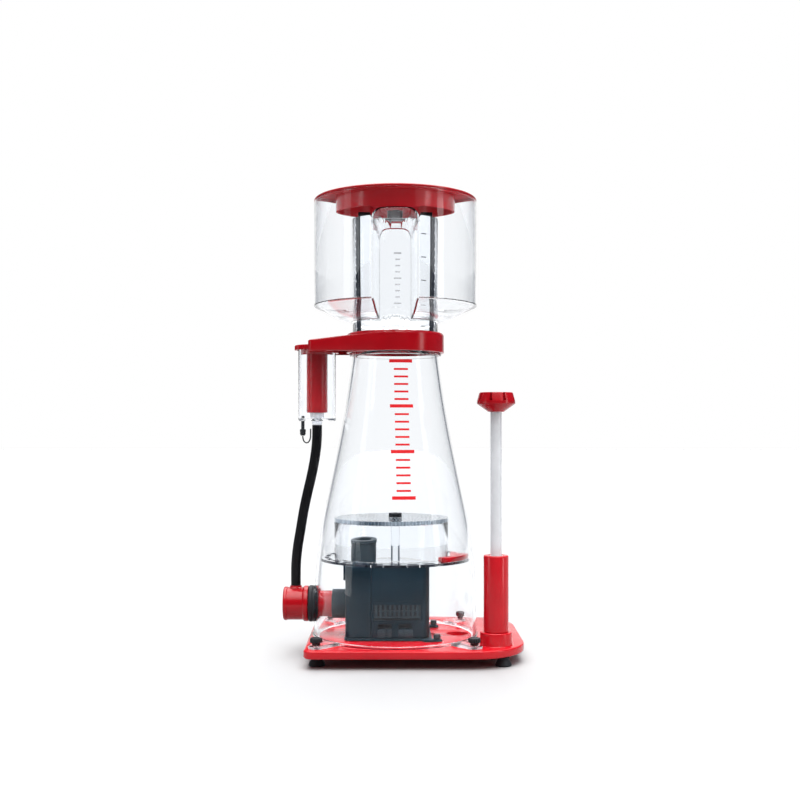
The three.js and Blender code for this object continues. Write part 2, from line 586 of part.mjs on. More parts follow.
function buildLevelControl() {
  const { x, y, radius, bore, top, shoulder } = POST;
  const place = (geometry) => geometry.translate(x, y, 0);
  const tube = turned([
    [10, 24], [12.2, 24], [12.2, shoulder], [radius, shoulder], [radius, top], [8.8, top],
    [8.8, top - 3.2], [bore, top - 3.2], [bore, shoulder + 2], [10, shoulder + 2], [10, 24],
  ], MEDIUM);
  const { halfWidth, bottom: windowBottom, top: windowTop } = POST_WINDOW;
  const window = block([-halfWidth, halfWidth], [5, 30], [windowBottom, windowTop]);
  add('outlet_post', place(cut(tube, window)), RED);

  const bush = turned([
    [6.95, 120.8], [bore - 0.4, 120.8], [bore - 0.4, 124.4], [8.4, 124.4], [8.4, 127.4],
    [6.95, 127.4], [6.95, 120.8],
  ], MEDIUM);
  add('rod_bush', place(bush), WHITE);

  const sleeve = turned([
    [9.2, 42], [bore - 0.4, 42], [bore - 0.4, 92], [6.95, 92], [6.95, 86], [9.2, 86], [9.2, 42],
  ], MEDIUM);
  const slant = block([-30, 30], [-40, 40], [-30, 0]).rotateX(0.75).translate(0, 0, 54);
  add('valve_sleeve', place(cut(sleeve, slant)), WHITE);

  add('level_rod', place(rod(ROD.radius, ROD.bottom, ROD.top, SMALL)), WHITE);

  const knob = turned([
    [6.95, KNOB.bottom], [9.9, KNOB.bottom], [22.5, KNOB.middle], [22.5, KNOB.middle + 2],
    [19.6, KNOB.top], [0, KNOB.top], [0, ROD.top + GAP], [6.95, ROD.top + GAP], [6.95, KNOB.bottom],
  ], MEDIUM);
  const notches = Array.from({ length: KNOB.notches }, (_, i) => {
    const wedge = new THREE.Shape();
    wedge.moveTo(17.8, 0);
    wedge.lineTo(27, -4.4);
    wedge.lineTo(27, 4.4);
    wedge.closePath();
    return prism(wedge, KNOB.middle + 3, KNOB.top + 5).rotateZ(((i + 0.5) * Math.PI * 2) / KNOB.notches);
  });
  add('level_knob', place(cut(knob, ...notches)), RED);
}

// ---------------------------------------------------------------- assembly

buildBase();
buildThumbScrews();
buildBody();
buildBubblePlates();
buildPump();
buildRotor();
buildIntake();
buildCollar();
buildSilencer();
buildCup();
buildLid();
buildNeckCleaner();
buildLevelControl();

const middleX = (VENTURI.left + PLATE.right) / 2;
const middleY = (PLATE.front + PLATE.back) / 2;
skimmer.position.set(-middleX, -middleY, 0);

export default skimmer;
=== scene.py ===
import math

import bmesh
import bpy
from mathutils import Matrix, Vector


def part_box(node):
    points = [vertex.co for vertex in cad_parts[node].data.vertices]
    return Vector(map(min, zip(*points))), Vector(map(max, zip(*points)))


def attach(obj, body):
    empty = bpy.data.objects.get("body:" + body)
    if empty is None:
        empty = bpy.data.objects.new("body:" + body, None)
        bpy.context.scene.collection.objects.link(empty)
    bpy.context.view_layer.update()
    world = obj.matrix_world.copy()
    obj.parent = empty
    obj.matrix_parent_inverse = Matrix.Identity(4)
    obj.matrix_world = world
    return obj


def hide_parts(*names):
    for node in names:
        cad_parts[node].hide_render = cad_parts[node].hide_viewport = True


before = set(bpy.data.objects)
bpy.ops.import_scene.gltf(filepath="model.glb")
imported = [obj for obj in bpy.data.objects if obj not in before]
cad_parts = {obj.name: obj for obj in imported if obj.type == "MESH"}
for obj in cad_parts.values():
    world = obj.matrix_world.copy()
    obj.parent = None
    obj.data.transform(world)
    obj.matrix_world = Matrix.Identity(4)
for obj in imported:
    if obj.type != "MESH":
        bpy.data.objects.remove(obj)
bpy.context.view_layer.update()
scene = bpy.context.scene

# Shapes are drawn in millimetres round the vertical axis of the reaction body, then moved here.
MM = 0.001
BODY_LOW, BODY_HIGH = (Vector(corner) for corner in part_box("reaction_body"))
AXIS = Vector(((BODY_LOW.x + BODY_HIGH.x) / 2, (BODY_LOW.y + BODY_HIGH.y) / 2, 0))
TO_FRAME = Matrix.Translation(AXIS) @ Matrix.Scale(MM, 4)


def node_box(name):
    """A node's lowest and highest corners in millimetres round the body's axis."""
    low, high = (Vector(corner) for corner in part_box(name))
    return (low - AXIS) / MM, (high - AXIS) / MM


def node_radius(name):
    low, high = node_box(name)
    return (high.x - low.x) / 2


def node_centre(name):
    low, high = node_box(name)
    return (low.x + high.x) / 2, (low.y + high.y) / 2


# ---- camera and stage

CAMERA_DISTANCE = 1.349
CAMERA_HEIGHT = 0.2754
LENS = 48.825
VIEW_SHIFT = (0.0059, 0.0375)


def build_camera():
    data = bpy.data.cameras.new("camera")
    data.lens = LENS
    data.sensor_width = 36
    data.shift_x, data.shift_y = VIEW_SHIFT
    camera = bpy.data.objects.new("camera", data)
    camera.location = AXIS + Vector((0, -CAMERA_DISTANCE, CAMERA_HEIGHT))
    camera.rotation_euler = (math.radians(90), 0, 0)
    scene.collection.objects.link(camera)
    scene.camera = camera


# Area lights: name, place, aim, width and height in metres, and watts.
LIGHTS = [
    ("key", (0.9, -1.3, 1.5), (0, 0, 0.3), (0.5, 1.2), 3),
    ("strip", (0.85, -0.45, 0.35), (0.05, 0, 0.25), (0.16, 1.0), 2.6),
    ("edge", (-0.95, -0.4, 0.35), (0, 0, 0.25), (0.2, 0.9), 1.4),
]


def build_light(name, place, aim, size, power):
    data = bpy.data.lights.new(name, "AREA")
    data.shape = "RECTANGLE"
    data.size, data.size_y = size
    data.energy = power
    light = bpy.data.objects.new(name, data)
    light.location = place
    light.rotation_euler = (Vector(aim) - Vector(place)).to_track_quat("-Z", "Y").to_euler()
    scene.collection.objects.link(light)


def map_range(tree, value, inputs, outputs):
    """The value with one range carried over to another, and held at the ends."""
    node = tree.nodes.new("ShaderNodeMapRange")
    for name, setting in zip(("From Min", "From Max", "To Min", "To Max"), (*inputs, *outputs)):
        node.inputs[name].default_value = setting
    tree.links.new(value, node.inputs["Value"])
    return node.outputs[0]


def colour_ramp(tree, value, span, first, last):
    """A colour that goes from first to last while the value crosses the span."""
    ramp = tree.nodes.new("ShaderNodeValToRGB")
    for element, position, colour in zip(ramp.color_ramp.elements, span, (first, last)):
        element.position = position
        element.color = (*colour, 1)
    tree.links.new(value, ramp.inputs[0])
    return ramp.outputs[0]


def calculate(tree, operation, *values):
    node = tree.nodes.new("ShaderNodeMath")
    node.operation = operation
    for value, socket in zip(values, node.inputs):
        tree.links.new(value, socket)
    return node.outputs[0]


def axes(tree, vector):
    """The X, Y and Z of a vector."""
    parts = tree.nodes.new("ShaderNodeSeparateXYZ")
    tree.links.new(vector, parts.inputs[0])
    return parts.outputs


def build_world():
    """White behind the object and brighter overhead, grey to the sides and dim in front of it, so that
    clear walls show their edges and reflect little."""
    world = bpy.data.worlds.new("studio")
    scene.world = world
    world.use_nodes = True
    tree = world.node_tree
    background = tree.nodes["Background"]
    x, y, z = axes(tree, tree.nodes.new("ShaderNodeTexCoord").outputs["Generated"])
    sideways = calculate(tree, "ABSOLUTE", x)
    colour = colour_ramp(tree, sideways, (0.36, 0.56), (1.0, 1.0, 1.0), (0.06, 0.075, 0.11))
    overhead = map_range(tree, z, (0.5, 0.9), (0.0, 7.0))
    behind = map_range(tree, y, (-0.45, 0.3), (0.12, 1.0))
    tree.links.new(colour, background.inputs["Color"])
    tree.links.new(calculate(tree, "MAXIMUM", overhead, behind), background.inputs["Strength"])


def build_stage():
    """A floor that is only just white under the object, and darker well in front of it, where clear
    walls reflect it."""
    bm = bmesh.new()
    bmesh.ops.create_grid(bm, x_segments=1, y_segments=1, size=14)
    mesh = bpy.data.meshes.new("floor")
    bm.to_mesh(mesh)
    bm.free()
    floor = bpy.data.objects.new("floor", mesh)
    scene.collection.objects.link(floor)
    mat, tree, shader = new_material("floor")
    y = axes(tree, tree.nodes.new("ShaderNodeNewGeometry").outputs["Position"])["Y"]
    shade = map_range(tree, y, (-1.5, -0.6), (0.10, 0.365))
    tree.links.new(shade, shader.inputs["Base Color"])
    shader.inputs["Roughness"].default_value = 0.7
    floor.data.materials.append(mat)


# ---- materials

def new_material(name):
    mat = bpy.data.materials.new(name)
    mat.use_nodes = True
    tree = mat.node_tree
    return mat, tree, tree.nodes["Principled BSDF"]


def noise(tree, scale, detail=3.0, stretch=(1, 1, 1)):
    """Noise over the object's own place, scale in features per metre, squeezed along any axis."""
    place = tree.nodes.new("ShaderNodeTexCoord")
    mapping = tree.nodes.new("ShaderNodeMapping")
    mapping.inputs["Scale"].default_value = stretch
    texture = tree.nodes.new("ShaderNodeTexNoise")
    texture.inputs["Scale"].default_value = scale
    texture.inputs["Detail"].default_value = detail
    tree.links.new(place.outputs["Object"], mapping.inputs["Vector"])
    tree.links.new(mapping.outputs["Vector"], texture.inputs["Vector"])
    return texture.outputs["Fac"]


# Nearly all values of a noise texture lie between these two.
NOISE_SPAN = (0.3, 0.7)


def vary_colour(tree, shader, dark, light, factor):
    tree.links.new(colour_ramp(tree, factor, NOISE_SPAN, dark, light), shader.inputs["Base Color"])


def vary_roughness(tree, shader, low, high, factor):
    tree.links.new(map_range(tree, factor, NOISE_SPAN, (low, high)), shader.inputs["Roughness"])


def add_bump(tree, shader, factor, strength, distance):
    bump = tree.nodes.new("ShaderNodeBump")
    bump.inputs["Strength"].default_value = strength
    bump.inputs["Distance"].default_value = distance
    tree.links.new(factor, bump.inputs["Height"])
    tree.links.new(bump.outputs[0], shader.inputs["Normal"])


def moulded(name, dark, light, roughness, grain, coat=0.0, bump=0.25, gloss=0.2):
    """Moulded plastic or rubber: cloudy colour, patchy gloss and a fine moulding grain."""
    mat, tree, shader = new_material(name)
    vary_colour(tree, shader, dark, light, noise(tree, 22, 4))
    vary_roughness(tree, shader, *roughness, noise(tree, 70, 5))
    add_bump(tree, shader, noise(tree, grain, 4), bump, 0.0002)
    shader.inputs["Specular IOR Level"].default_value = gloss
    shader.inputs["Coat Weight"].default_value = coat
    shader.inputs["Coat Roughness"].default_value = 0.08
    return mat


def clear_plastic(name, tint, roughness, wave=0.12, grain=9.0, thin=(0.97, 0.98, 1.0)):
    """Clear acrylic that bends what is behind it. Lamps reach what stands inside it."""
    mat, tree, shader = new_material(name)
    shader.inputs["Base Color"].default_value = (*tint, 1)
    shader.inputs["Transmission Weight"].default_value = 1.0
    shader.inputs["IOR"].default_value = 1.49
    shader.inputs["Specular Tint"].default_value = (0.25, 0.25, 0.25, 1)
    vary_roughness(tree, shader, *roughness, noise(tree, 45, 4))
    add_bump(tree, shader, noise(tree, grain, 2), wave, 0.0008)
    let_through = tree.nodes.new("ShaderNodeBsdfTransparent")
    let_through.inputs["Color"].default_value = (*thin, 1)
    rays = tree.nodes.new("ShaderNodeLightPath")
    mix = tree.nodes.new("ShaderNodeMixShader")
    tree.links.new(rays.outputs["Is Shadow Ray"], mix.inputs[0])
    tree.links.new(shader.outputs[0], mix.inputs[1])
    tree.links.new(let_through.outputs[0], mix.inputs[2])
    tree.links.new(mix.outputs[0], tree.nodes["Material Output"].inputs["Surface"])
    return mat


ACRYLIC = (0.975, 0.987, 1.0)
RED = ((0.42, 0.004, 0.010), (0.52, 0.007, 0.014))
DEEP_RED = ((0.29, 0.002, 0.006), (0.37, 0.004, 0.009))
POLISHED = {"coat": 0.12, "bump": 0.06, "gloss": 0.22}

# Moulded finishes: name, dark and light colour, lowest and highest roughness, and grain per metre.
MOULDED = {
    "red": ("red_plastic", *RED, (0.14, 0.24), 900, POLISHED),
    # frosted_painted_glints: drilled hole walls of the diffuser plate. They are frosted, and their colour
    # runs from near black to pale blue-grey: painted shade and painted glints for the sparkle of the holes.
    "frosted_painted_glints": ("drilled_acrylic_painted_glints", (0.02, 0.05, 0.08), (0.62, 0.70, 0.76), (0.12, 0.3), 600,
                {"coat": 0.5, "bump": 0.6}),
    # slot_wall_shade: near-black colour for the slot walls of the lower plate, painted shade for how dark
    # those walls look in the clear plate.
    "slot_wall_shade": ("slot_edge_painted_shade", (0.008, 0.010, 0.016), (0.03, 0.035, 0.05), (0.15, 0.3), 600, {}),
    "black": ("black_plastic", (0.008, 0.009, 0.011), (0.018, 0.02, 0.024), (0.28, 0.42), 1400, {}),
    "rubber": ("black_rubber", (0.010, 0.011, 0.013), (0.022, 0.024, 0.028), (0.45, 0.62), 1800,
               {"bump": 0.4}),
    "hose": ("hose_rubber", (0.004, 0.004, 0.005), (0.009, 0.009, 0.010), (0.26, 0.38), 1200,
             {"gloss": 0.1}),
    "deep_red": ("deep_red_plastic", *DEEP_RED, (0.14, 0.24), 900, POLISHED),
    # underlit_matt_red: a lighter, rougher red for the lid's underside, painted light as if lit from below.
    "underlit_matt_red": ("matt_red_plastic", (0.42, 0.005, 0.012), (0.52, 0.008, 0.018), (0.55, 0.7), 900,
                 {"gloss": 0.05}),
    "pump": ("pump_plastic", (0.008, 0.017, 0.024), (0.014, 0.027, 0.036), (0.32, 0.46), 2200,
             {"bump": 0.15, "gloss": 0.05}),
    "riser": ("riser_plastic", (0.017, 0.027, 0.032), (0.030, 0.044, 0.052), (0.34, 0.46), 1800,
              {"bump": 0.15}),
    "grille": ("grille_plastic", (0.016, 0.027, 0.034), (0.026, 0.040, 0.048), (0.3, 0.42), 1800,
               {"bump": 0.15}),
    "milky": ("milky_plastic", (0.58, 0.59, 0.61), (0.68, 0.69, 0.71), (0.22, 0.34), 1200, {"coat": 0.2}),
    "white": ("white_plastic", (0.72, 0.74, 0.77), (0.86, 0.87, 0.89), (0.22, 0.34), 1200, {"coat": 0.2}),
    "silicone": ("silicone", (0.70, 0.69, 0.68), (0.82, 0.81, 0.80), (0.40, 0.55), 1500, {}),
    "ceramic": ("ceramic", (0.66, 0.63, 0.56), (0.76, 0.73, 0.66), (0.18, 0.28), 2500, {}),
    "magnet": ("magnet", (0.03, 0.031, 0.034), (0.06, 0.062, 0.066), (0.35, 0.5), 3000, {"bump": 0.5}),
    "print": ("red_print", (0.60, 0.01, 0.015), (0.72, 0.015, 0.02), (0.35, 0.5), 2500, {}),
    "pale_print": ("pale_print", (0.42, 0.43, 0.44), (0.5, 0.51, 0.52), (0.35, 0.5), 2500, {}),
    "grey_print": ("grey_print", (0.10, 0.11, 0.12), (0.16, 0.17, 0.18), (0.35, 0.5), 2500, {}),
}


def build_materials():
    made = {key: moulded(*settings, **extras) for key, (*settings, extras) in MOULDED.items()}
    made["clear"] = clear_plastic("clear_acrylic", ACRYLIC, (0.0, 0.03), wave=0.05)
    made["soft"] = clear_plastic("soft_clear_acrylic", ACRYLIC, (0.45, 0.6))
    return made


# ---- shape helpers

def make(bm, name="shape"):
    bmesh.ops.recalc_face_normals(bm, faces=bm.faces)
    mesh = bpy.data.meshes.new(name)
    bm.to_mesh(mesh)
    bm.free()
    shape = bpy.data.objects.new(name, mesh)
    scene.collection.objects.link(shape)
    return shape


def apply_modifiers(shape):
    graph = bpy.context.evaluated_depsgraph_get()
    mesh = bpy.data.meshes.new_from_object(shape.evaluated_get(graph))
    shape.modifiers.clear()
    old = shape.data
    shape.data = mesh
    bpy.data.meshes.remove(old)
    return shape


def combine(shape, operation, tools):
    for tool in tools:
        change = shape.modifiers.new("combine", "BOOLEAN")
        change.operation = operation
        change.solver = "MANIFOLD"
        change.object = tool
        apply_modifiers(shape)
        mesh = tool.data
        bpy.data.objects.remove(tool)
        bpy.data.meshes.remove(mesh)
    return shape


def cut(shape, *tools):
    return combine(shape, "DIFFERENCE", tools)


def join(shape, *tools):
    return combine(shape, "UNION", tools)


def common(shape, *tools):
    return combine(shape, "INTERSECT", tools)


def bevel(shape, width, segments=2, angle=40):
    change = shape.modifiers.new("bevel", "BEVEL")
    change.width = width
    change.segments = segments
    change.limit_method = "ANGLE"
    change.angle_limit = math.radians(angle)
    change.use_clamp_overlap = True
    return apply_modifiers(shape)


def rounded(profile, radius, steps=3, closed=False):
    """The same outline with each corner turned into an arc of that radius, or less where it's tight."""
    points = [Vector(p) for p in profile]
    result = []
    last = len(points) - 1
    for i, corner in enumerate(points):
        if not closed and i in (0, last):
            result.append(tuple(corner))
            continue
        before = points[i - 1] - corner
        after = points[(i + 1) % len(points)] - corner
        bend = before.angle(after)
        reach = min(radius / math.tan(bend / 2), before.length * 0.48, after.length * 0.48)
        if bend > math.radians(172) or reach < 0.02:
            result.append(tuple(corner))
            continue
        start = corner + before.normalized() * reach
        end = corner + after.normalized() * reach
        for step in range(steps + 1):
            t = step / steps
            a = start.lerp(corner, t)
            b = corner.lerp(end, t)
            result.append(tuple(a.lerp(b, t)))
    return result


def turned(profile, sides=96, round_by=0.0, flute=None):
    """A body of revolution round Z from [radius, height] points. It starts and ends on the axis,
    or closes on itself. flute(radius, height, angle) may change the radius."""
    closed = profile[0][0] > 1e-6
    points = rounded(profile, round_by, closed=closed) if round_by else profile
    bm = bmesh.new()
    rings = []
    for radius, height in points:
        if radius < 1e-6:
            rings.append([bm.verts.new((0, 0, height))])
            continue
        ring = []
        for side in range(sides):
            angle = 2 * math.pi * side / sides
            r = flute(radius, height, angle) if flute else radius
            ring.append(bm.verts.new((r * math.cos(angle), r * math.sin(angle), height)))
        rings.append(ring)
    pairs = list(zip(rings, rings[1:]))
    if closed:
        pairs.append((rings[-1], rings[0]))
    for lower, upper in pairs:
        for side in range(sides):
            after = (side + 1) % sides
            corners = [lower[side % len(lower)], lower[after % len(lower)],
                       upper[after % len(upper)], upper[side % len(upper)]]
            unique = list(dict.fromkeys(corners))
            if len(unique) > 2:
                bm.faces.new(unique)
    return make(bm)


def rod(radius, bottom, top, sides=64, round_by=0.0):
    return turned([(0, bottom), (radius, bottom), (radius, top), (0, top)], sides, round_by)


def ring(outer, inner, bottom, top, sides=96, round_by=0.0):
    return turned([(inner, bottom), (outer, bottom), (outer, top), (inner, top)], sides, round_by)


def moved(shape, x=0.0, y=0.0, z=0.0):
    shape.data.transform(Matrix.Translation((x, y, z)))
    return shape


def turned_by(shape, degrees, axis):
    shape.data.transform(Matrix.Rotation(math.radians(degrees), 4, axis))
    return shape


PUMP_HEIGHT = 60
CABLE_HEIGHT = 46


def along_x(shape):
    """Lays an upright shape along the pump's axis."""
    return moved(turned_by(shape, 90, "Y"), z=PUMP_HEIGHT)


def along_y(shape, x, z):
    return moved(turned_by(shape, -90, "X"), x=x, z=z)


def block(x, y, z, round_by=0.0, segments=2):
    bm = bmesh.new()
    bmesh.ops.create_cube(bm, size=1)
    size = Vector((x[1] - x[0], y[1] - y[0], z[1] - z[0]))
    middle = Vector(((x[0] + x[1]) / 2, (y[0] + y[1]) / 2, (z[0] + z[1]) / 2))
    for vert in bm.verts:
        vert.co = Vector(c * s for c, s in zip(vert.co, size)) + middle
    shape = make(bm)
    return bevel(shape, round_by, segments) if round_by else shape


def arc(centre, radius, start, end, steps):
    """Points on an arc, from one angle to another in degrees."""
    angles = [math.radians(start + (end - start) * i / steps) for i in range(steps + 1)]
    return [(centre[0] + radius * math.cos(a), centre[1] + radius * math.sin(a)) for a in angles]


def rectangle(x, y, radii, steps=10):
    """Anticlockwise outline with corner radii front left, front right, back right, back left."""
    front_left, front_right, back_right, back_left = (max(r, 0.01) for r in radii)
    return (arc((x[0] + front_left, y[0] + front_left), front_left, 180, 270, steps)
            + arc((x[1] - front_right, y[0] + front_right), front_right, 270, 360, steps)
            + arc((x[1] - back_right, y[1] - back_right), back_right, 0, 90, steps)
            + arc((x[0] + back_left, y[1] - back_left), back_left, 90, 180, steps))


def capsule(a, b, radius, steps=14):
    heading = math.degrees(math.atan2(b[1] - a[1], b[0] - a[0]))
    return (arc(a, radius, heading + 90, heading + 270, steps)
            + arc(b, radius, heading - 90, heading + 90, steps))


def prism(outline, bottom, top, holes=(), round_by=0.0, segments=3):
    """An upright prism over an outline, with holes through it where they are given."""
    bm = bmesh.new()
    loops = [[bm.verts.new((x, y, bottom)) for x, y in loop] for loop in (outline, *holes)]
    if holes:
        edges = [bm.edges.new((loop[i - 1], loop[i])) for loop in loops for i in range(len(loop))]
        bmesh.ops.triangle_fill(bm, edges=edges, use_beauty=True)
    else:
        bm.faces.new(loops[0])
    grown = bmesh.ops.extrude_face_region(bm, geom=list(bm.faces))
    lifted = [item for item in grown["geom"] if isinstance(item, bmesh.types.BMVert)]
    bmesh.ops.translate(bm, verts=lifted, vec=(0, 0, top - bottom))
    shape = make(bm)
    return bevel(shape, round_by, segments) if round_by else shape


def inset_outline(outline, inset):
    """The outline of a smooth convex shape moved inwards."""
    result = []
    count = len(outline)
    for i, (x, y) in enumerate(outline):
        before = Vector(outline[i - 1])
        after = Vector(outline[(i + 1) % count])
        along = (after - before).normalized()
        result.append((x - along.y * inset, y + along.x * inset))
    return result


def slab(outline, bottom, top, edge, steps=4):
    """An upright slab with rounded top and bottom edges. Its top may be a height or a function of x, y."""
    height = top if callable(top) else lambda x, y: top
    layers = []
    for step in range(steps + 1):
        turn = math.pi / 2 * step / steps
        layers.append((edge * (1 - math.sin(turn)), edge * (1 - math.cos(turn)), False))
    for step in range(steps + 1):
        turn = math.pi / 2 * (1 - step / steps)
        layers.append((edge * (1 - math.sin(turn)), edge * (1 - math.cos(turn)), True))
    bm = bmesh.new()
    rings = []
    for inset, lift, at_top in layers:
        rings.append([bm.verts.new((x, y, height(x, y) - lift if at_top else bottom + lift))
                      for x, y in inset_outline(outline, inset)])
    count = len(outline)
    for lower, upper in zip(rings, rings[1:]):
        for i in range(count):
            bm.faces.new((lower[i - 1], lower[i], upper[i], upper[i - 1]))
    bm.faces.new(rings[0][::-1])
    bm.faces.new(rings[-1])
    return make(bm)


def side_prism(outline, y):
    """A prism along Y over an outline of (x, z) points."""
    shape = prism(outline, 0, y[1] - y[0])
    return moved(turned_by(shape, 90, "X"), y=y[1])


def show(name, shape, finish, *nodes, body="root", crease=32, extra=()):
    """Moves a finished shape into the frame, names it and says what it is."""
    shape.data.transform(TO_FRAME)
    shape.name = name
    shape.data.name = name
    indices = [face.material_index if extra else 0 for face in shape.data.polygons]
    shape.data.materials.clear()
    for key in (finish, *extra):
        shape.data.materials.append(materials[key])
    for face, index in zip(shape.data.polygons, indices):
        face.material_index = index
        face.use_smooth = True
    shape.data.set_sharp_from_angle(angle=math.radians(crease))
    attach(shape, body)
    if nodes:
        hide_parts(*nodes)
    return shape


def smooth_curve(points, per_span):
    """Points along a smooth curve that passes through each of the given points."""
    ends = [points[0], *points, points[-1]]
    result = []
    for i in range(len(points) - 1):
        p0, p1, p2, p3 = (Vector(p) for p in ends[i:i + 4])
        for step in range(per_span):
            t = step / per_span
            result.append(tuple(0.5 * ((2 * p1) + (p2 - p0) * t + (2 * p0 - 5 * p1 + 4 * p2 - p3) * t * t
                                       + (3 * p1 - p0 - 3 * p2 + p3) * t * t * t)))
    return result + [tuple(points[-1])]


# ---- air hose

HOSE_DIAMETER = 12.2
HOSE_ROUTE = [
    (-97.2, 281.6), (-97.2, 270), (-97.9, 257), (-99.6, 243), (-102.2, 228), (-105.4, 213),
    (-108.5, 200), (-111.4, 187), (-114, 174), (-116.2, 161), (-118.3, 148), (-120.4, 136),
    (-122, 124), (-123.1, 112), (-123.5, 100), (-123.5, 82.8),
]


def build_hose():
    points = [TO_FRAME @ Vector((x, 0, z)) for x, z in smooth_curve(HOSE_ROUTE, 4)]
    data = bpy.data.curves.new("air_hose_run", "CURVE")
    data.dimensions = "3D"
    data.bevel_depth = HOSE_DIAMETER / 2 * MM
    data.bevel_resolution = 8
    data.use_fill_caps = True
    spline = data.splines.new("POLY")
    spline.points.add(len(points) - 1)
    for point, place in zip(spline.points, points):
        point.co = (*place, 1)
    spline.use_smooth = True
    hose = bpy.data.objects.new("air_hose_run", data)
    scene.collection.objects.link(hose)
    data.materials.append(materials["hose"])
    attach(hose, "root")
    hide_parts("air_hose")


# ---- base, feet and thumb screws

POST_X, POST_Y = node_centre("outlet_post")
SCREW_PLACES = [node_centre(f"thumb_screw_{number}") for number in range(1, 5)]
DRAIN = (78, 5, 13.9)


def build_base():
    low, high = node_box("base_plate")
    top = node_box("reaction_body")[0].z - 0.4
    outline = rectangle((low.x, high.x), (low.y, high.y), (12, 66, 60, 12), 24)
    plate = slab(outline, low.z, top, 1.8)
    boss = moved(rod(18.9, low.z + 4, high.z, 96, 1.6), POST_X, POST_Y)
    foot_of_boss = moved(turned([
        (0, top - 1), (21.2, top - 1), (21.2, top), (19.6, top + 0.5), (18.9, top + 1.6), (0, top + 1.6),
    ], 96), POST_X, POST_Y)
    bore = moved(rod(12.6, 0, 60, 72), POST_X, POST_Y)
    drain = moved(turned([
        (0, 0), (DRAIN[2], 0), (DRAIN[2], top - 1), (DRAIN[2] + 0.3, top - 0.3), (DRAIN[2] + 1.2, top + 0.2),
        (DRAIN[2] + 1.2, top + 1), (0, top + 1),
    ], 72), DRAIN[0], DRAIN[1])
    run = ((DRAIN[0], DRAIN[1]), (POST_X, POST_Y))
    channel = prism(capsule(*run, 14), low.z - 1, low.z + 5)
    seat = prism(capsule(*run, 16.5), low.z - 1, low.z + 1.8)
    groove = ring(99.2, 94.8, top - 2.2, top + 1, 128)
    plate = cut(join(plate, boss, foot_of_boss), bore, drain, channel, seat, groove)
    cut(plate, *[moved(rod(3, low.z + 2, 40, 24), x, y) for x, y in SCREW_PLACES])
    show("base_plate_shell", plate, "red", "base_plate")

    for number in range(1, 5):
        name = f"foot_{number}"
        x, y = node_centre(name)
        height = node_box(name)[1].z
        profile = [
            (0, 1.6), (4.2, 1.4), (8.4, 0), (9.6, 0.8), (9.8, 1.6), (9.3, 2.6), (8.9, 4), (7.4, 6.6),
            (6.6, 8.4), (6.9, 9.2), (6.9, 10.2), (5.7, 10.8), (5.6, height), (0, height),
        ]
        foot = moved(turned(profile, 64, 0.5), x, y)
        show(f"foot_shell_{number}", foot, "rubber", name)


def build_thumb_screws():
    def grip(radius, height, angle):
        """Ribs round the head, and none on the thin parts."""
        if radius < 5.6:
            return radius
        return radius * (0.955 + 0.045 * math.tanh(2.4 * math.cos(angle * 16)))

    for number, (x, y) in enumerate(SCREW_PLACES, 1):
        name = f"thumb_screw_{number}"
        bottom, top = node_box(name)[0].z, node_box(name)[1].z
        profile = [
            (0, bottom), (2.2, bottom), (2.6, bottom + 0.6), (2.6, 25.9), (4.7, 25.9), (4.9, 28.4), (5.9, 29),
            (7.25, 29.6), (7.25, top - 1.2), (6.4, top), (4.4, top), (4.1, top - 0.6), (0, top - 0.6),
        ]
        screw = moved(turned(profile, 128, 0.35, grip), x, y)
        show(f"thumb_screw_shell_{number}", screw, "black", name, body=f"screw_{number}")


# ---- reaction body and bubble plates

BODY_WALL = 3.4
BODY_OUTLINE = [
    (100.8, 30), (100, 75), (97.6, 115), (92.4, 153), (82.2, 203), (69.9, 262), (61, 311), (55, 352),
    (53.3, 366.8),
]


def body_radius(height):
    """The outside radius of the reaction body at a height."""
    points = smooth_curve(BODY_OUTLINE, 8)
    for (r0, z0), (r1, z1) in zip(points, points[1:]):
        if z0 <= height <= z1:
            return r0 + (r1 - r0) * (height - z0) / (z1 - z0)
    return points[0][0]


def build_body():
    low, high = node_box("reaction_body")
    outside = smooth_curve(BODY_OUTLINE, 8)
    inside = [(r - BODY_WALL, z) for r, z in reversed(outside)]
    flange, flange_top, neck = 102.6, low.z + 3.2, 57
    shell = turned([
        (100.8 - BODY_WALL, low.z), (flange, low.z), (flange, flange_top), (101, flange_top), *outside,
        (neck, 366.8), (neck, high.z), (53.3 - BODY_WALL, high.z), *inside,
    ], 144, 0.7)
    ears = []
    for x, y in SCREW_PLACES:
        ears.append(slab(capsule((x * 0.76, y * 0.76), (x, y), 9.5, 20), low.z, flange_top, 0.6, 2))
    join(shell, *ears)
    # The ears reach in under the body, where its bore is open.
    cut(shell, rod(100.8 - BODY_WALL, low.z - 5, flange_top + 0.1, 144))
    cut(shell, *[moved(rod(3.2, 10, 40, 24), x, y) for x, y in SCREW_PLACES])
    inlet = along_x(rod(19.2, -115, -85, 64))
    cable = along_y(rod(5.2, 88, 112, 32), 30, CABLE_HEIGHT)
    cut(shell, inlet, cable)
    for face in shell.data.polygons:
        if abs(face.normal.z) < 0.9 and math.hypot(face.center.x, face.center.y) > flange + 0.5:
            face.material_index = 1
    show("reaction_body_shell", shell, "clear", "reaction_body", crease=25, extra=["soft"])

    grommet = turned([
        (0, 91.4), (4.8, 91.4), (4.8, 99.8), (8, 99.8), (8, 102.4), (4.2, 104.6), (2.6, 104.6), (2.6, 101),
        (0, 101),
    ], 48, 0.4)
    show("cable_grommet_shell", along_y(grommet, 30, CABLE_HEIGHT), "rubber", "cable_grommet")


def slot_outline(middle, half, inner, outer, steps=5):
    """A curved slot round the axis, as an anticlockwise loop."""
    far = arc((0, 0), outer, math.degrees(middle - half), math.degrees(middle + half), steps)
    near = arc((0, 0), inner, math.degrees(middle + half), math.degrees(middle - half), steps)
    return far + near


def darken_walls(shape, clear_of):
    """Gives the walls of holes the shape's second material."""
    for face in shape.data.polygons:
        if abs(face.normal.z) < 0.5 and clear_of(face.center):
            face.material_index = 1


